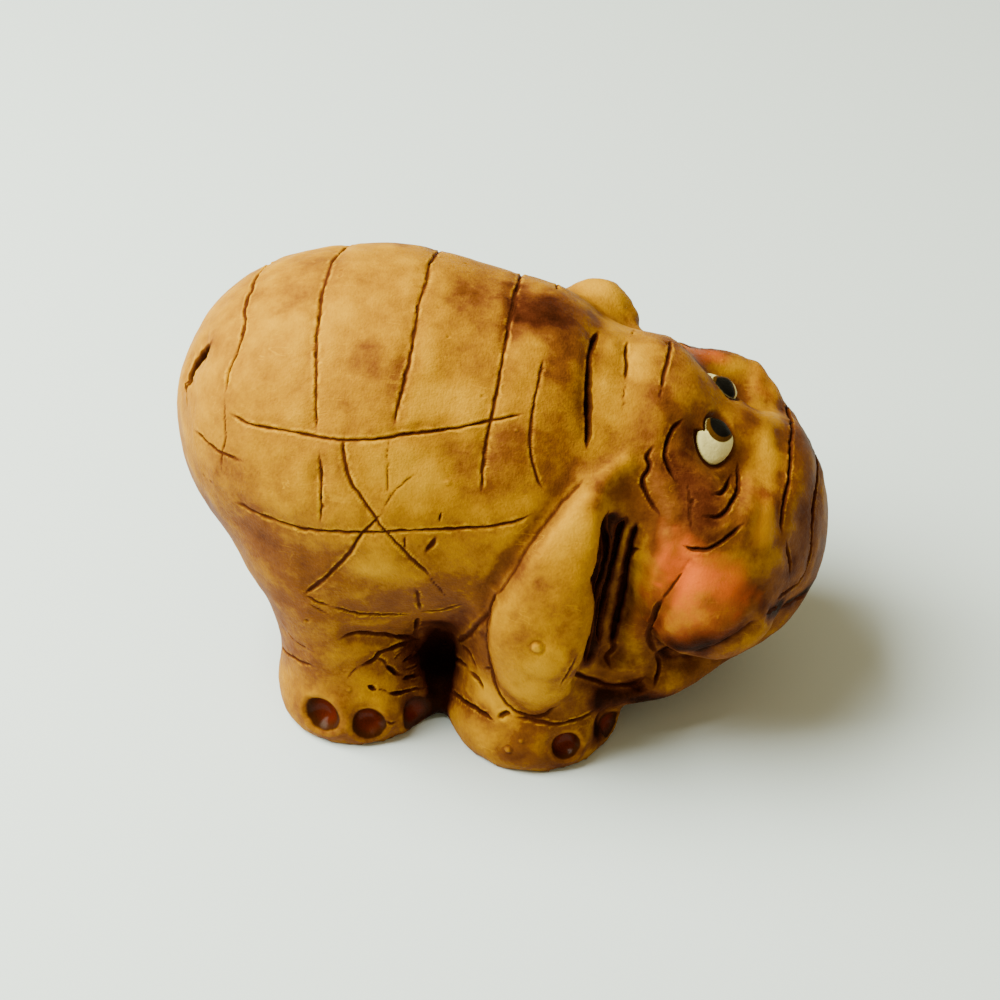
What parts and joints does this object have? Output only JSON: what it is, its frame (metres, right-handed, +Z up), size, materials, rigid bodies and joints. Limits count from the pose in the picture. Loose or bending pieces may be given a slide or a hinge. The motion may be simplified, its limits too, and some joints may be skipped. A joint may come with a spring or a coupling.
{
  "type": "elephant figurine",
  "caption": "Small cast figurine of a fat baby elephant on four short legs, head low, trunk curled under, ears hanging.",
  "frame": {"origin": "on the ground, at the middle of the figure's box", "axes": "+X is the way the elephant faces, +Y its left side, +Z up"},
  "size_m": [0.0442, 0.0286, 0.0306],
  "materials": {
    "cast_resin": "satin ochre stain, dark brown in the grooves"
  },
  "bodies": {
    "root": {"elephant": "cast_resin"}
  },
  "joints": []
}
